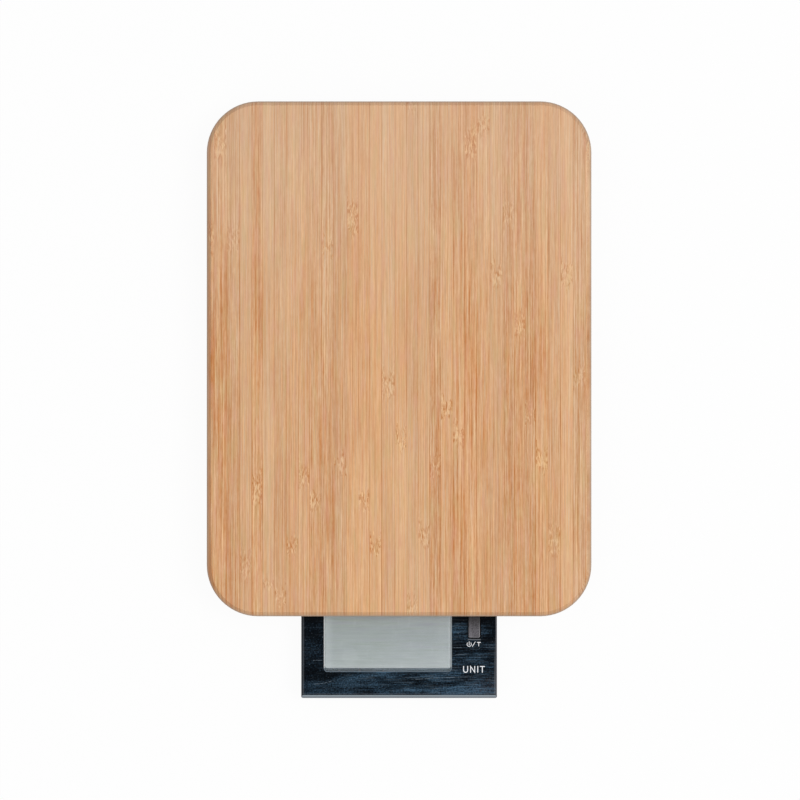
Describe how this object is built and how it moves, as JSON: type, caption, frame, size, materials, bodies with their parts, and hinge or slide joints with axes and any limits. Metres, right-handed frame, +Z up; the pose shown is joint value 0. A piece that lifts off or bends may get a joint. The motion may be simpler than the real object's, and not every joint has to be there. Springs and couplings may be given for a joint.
{
  "type": "kitchen scale",
  "caption": "Flat bamboo kitchen scale on sensing feet, with a display drawer that slides out under the front edge, a tare key and a coin-cell door below.",
  "frame": {"origin": "on the table, under the middle of the scale with its display drawer out as pictured", "axes": "+Z up out of the weighing surface, -Y towards the user and the display drawer, +X to the user's right"},
  "size_m": [0.18, 0.2804, 0.021],
  "materials": {
    "bamboo": "oiled edge-grain bamboo strips",
    "base_plastic": "fine-textured charcoal plastic",
    "drawer_plastic": "satin black plastic",
    "panel_print": "navy-black horizontally brushed panel with bare bevels",
    "clear_lens": "clear window",
    "lcd_glass": "grey blank display",
    "grey_plastic": "grey satin plastic",
    "acetal": "natural white acetal",
    "steel": "brushed steel",
    "screw_steel": "zinc-plated steel",
    "nickel": "nickel plate",
    "rubber": "grey-black rubber",
    "circuit": "green solder mask",
    "chip_epoxy": "black epoxy",
    "header_plastic": "ivory nylon",
    "cable": "PVC sheath",
    "foil": "etched foil on film",
    "elastomer": "striped contact rubber"
  },
  "bodies": {
    "scale_body": {"platform_board": "bamboo", "base_tray": "base_plastic", "board_screws": "screw_steel", "slide_rail_left": "acetal", "slide_rail_right": "acetal", "rail_screws": "screw_steel", "strain_gauges": "foil", "junction_board": "circuit", "junction_screws": "screw_steel", "lead_headers": "header_plastic", "coin_cell": "nickel", "battery_contact_negative": "nickel", "battery_contact_positive": "nickel", "battery_leads": "cable", "display_lead": "cable", "load_cell_front_left": "steel", "foot_cup_front_left": "base_plastic", "foot_pad_front_left": "rubber", "sensor_lead_front_left": "cable", "load_cell_front_right": "steel", "foot_cup_front_right": "base_plastic", "foot_pad_front_right": "rubber", "sensor_lead_front_right": "cable", "load_cell_rear_left": "steel", "foot_cup_rear_left": "base_plastic", "foot_pad_rear_left": "rubber", "sensor_lead_rear_left": "cable", "load_cell_rear_right": "steel", "foot_cup_rear_right": "base_plastic", "foot_pad_rear_right": "rubber", "sensor_lead_rear_right": "cable"},
    "display_drawer": {"drawer_tray": "drawer_plastic", "display_panel": "panel_print", "display_lens": "clear_lens", "lcd_glass": "lcd_glass", "lcd_frame": "grey_plastic", "zebra_strip": "elastomer", "circuit_board": "circuit", "circuit_board_screws": "screw_steel", "controller_chip": "chip_epoxy", "tact_switch": "steel", "unit_touch_electrode": "elastomer", "lead_socket": "header_plastic", "drawer_lead": "cable", "lead_grommet": "rubber", "drawer_cover": "drawer_plastic", "cover_screws": "screw_steel"},
    "tare_key": {"tare_key": "grey_plastic", "switch_plunger": "chip_epoxy"},
    "battery_door": {"battery_door": "base_plastic"}
  },
  "joints": [
    {"name": "display_slide", "type": "slide", "parent": "scale_body", "child": "display_drawer", "axis": [0, -1, 0], "range_m": [-0.0394, 0.003], "deforming": ["display_lead"]},
    {"name": "tare_press", "type": "slide", "parent": "display_drawer", "child": "tare_key", "axis": [0, 0, -1], "range_m": [0, 0.0005], "stiffness_N_per_m": 2500},
    {"name": "battery_door_twist", "type": "hinge", "parent": "scale_body", "child": "battery_door", "pos_m": [0, 0.083, 0.0025], "axis": [0, 0, -1], "range_deg": [0, 45]}
  ]
}
